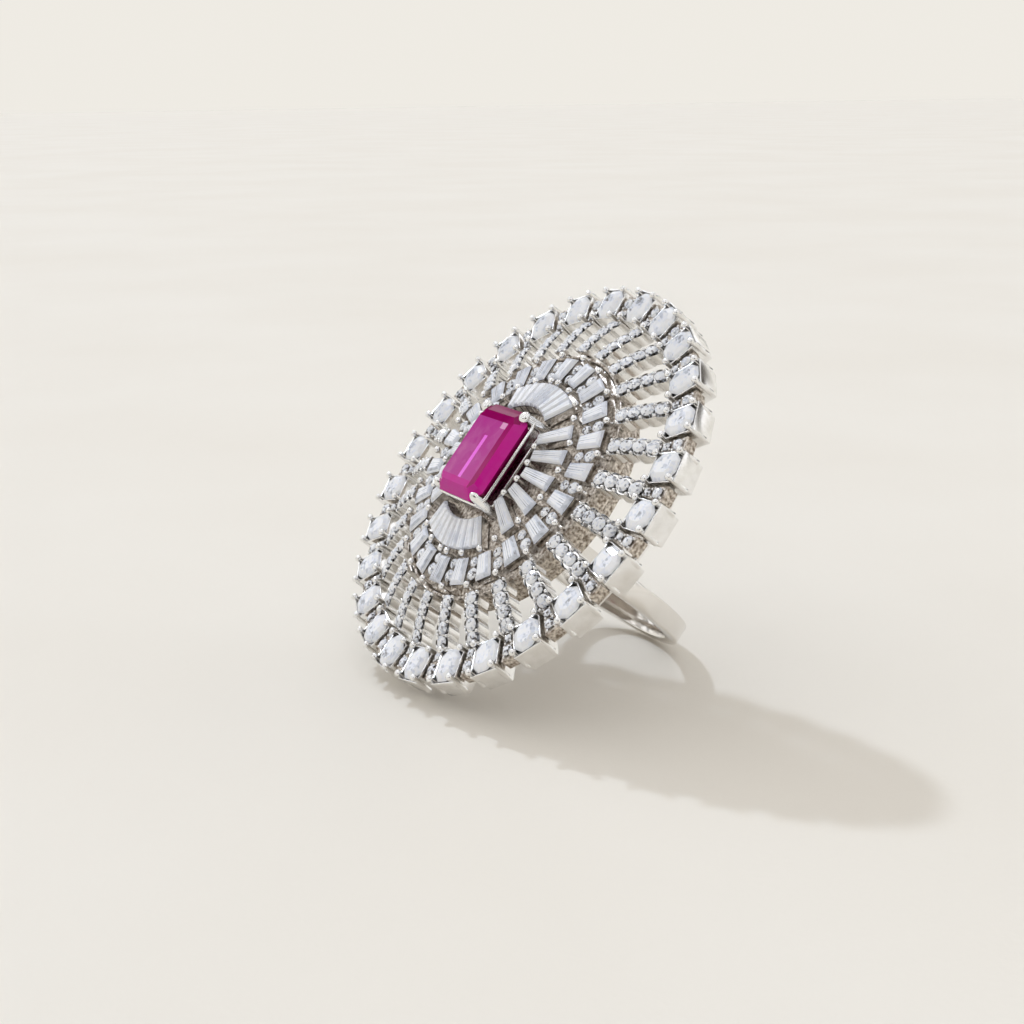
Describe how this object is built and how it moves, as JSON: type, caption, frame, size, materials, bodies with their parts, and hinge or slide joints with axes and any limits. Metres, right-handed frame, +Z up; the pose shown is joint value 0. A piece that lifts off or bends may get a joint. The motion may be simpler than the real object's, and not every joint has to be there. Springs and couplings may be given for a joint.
{
  "type": "cocktail ring",
  "caption": "Cocktail ring with a round openwork face of claw-set step-cut and round stones in tiers about a raised red octagon stone, on a plain narrow band.",
  "frame": {"origin": "middle of the ring's footprint, on the surface that it lies on: it leans on the edge of its face and on its band, as it does when it is put down", "axes": "+Z up from the surface; +Y across the face, square to the finger; the face looks towards -X and up, and the band is on the +X side"},
  "size_m": [0.0292, 0.041, 0.0331],
  "materials": {
    "band_metal": "white precious metal, mirror polished",
    "setting_metal": "white precious metal, polished, with small tooling marks",
    "ruby_gem": "transparent pinkish red, polished facets",
    "colourless_gem": "colourless, polished facets"
  },
  "bodies": {
    "root": {"collar_ring": "setting_metal", "fan_baguettes_lower": "colourless_gem", "fan_baguettes_upper": "colourless_gem", "first_tier_plate": "setting_metal", "gallery_arms": "setting_metal", "gallery_outer_ring": "setting_metal", "gallery_posts": "setting_metal", "gallery_ring": "setting_metal", "gap_plates": "setting_metal", "gap_stones": "colourless_gem", "rim_rail": "setting_metal", "rim_settings": "setting_metal", "rim_stone_01": "colourless_gem", "rim_stone_02": "colourless_gem", "rim_stone_03": "colourless_gem", "rim_stone_04": "colourless_gem", "rim_stone_05": "colourless_gem", "rim_stone_06": "colourless_gem", "rim_stone_07": "colourless_gem", "rim_stone_08": "colourless_gem", "rim_stone_09": "colourless_gem", "rim_stone_10": "colourless_gem", "rim_stone_11": "colourless_gem", "rim_stone_12": "colourless_gem", "rim_stone_13": "colourless_gem", "rim_stone_14": "colourless_gem", "rim_stone_15": "colourless_gem", "rim_stone_16": "colourless_gem", "rim_stone_17": "colourless_gem", "rim_stone_18": "colourless_gem", "rim_stone_19": "colourless_gem", "rim_stone_20": "colourless_gem", "rim_stone_21": "colourless_gem", "rim_stone_22": "colourless_gem", "rim_stone_23": "colourless_gem", "rim_stone_24": "colourless_gem", "rim_stone_25": "colourless_gem", "rim_stone_26": "colourless_gem", "ruby": "ruby_gem", "ruby_basket": "setting_metal", "second_tier_baguettes": "colourless_gem", "second_tier_plate": "setting_metal", "second_tier_rounds": "colourless_gem", "shank": "band_metal", "shoulder_far": "band_metal", "shoulder_near": "band_metal", "side_baguettes_far": "colourless_gem", "side_baguettes_near": "colourless_gem", "spoke_stones": "colourless_gem", "spokes": "setting_metal"}
  },
  "joints": []
}
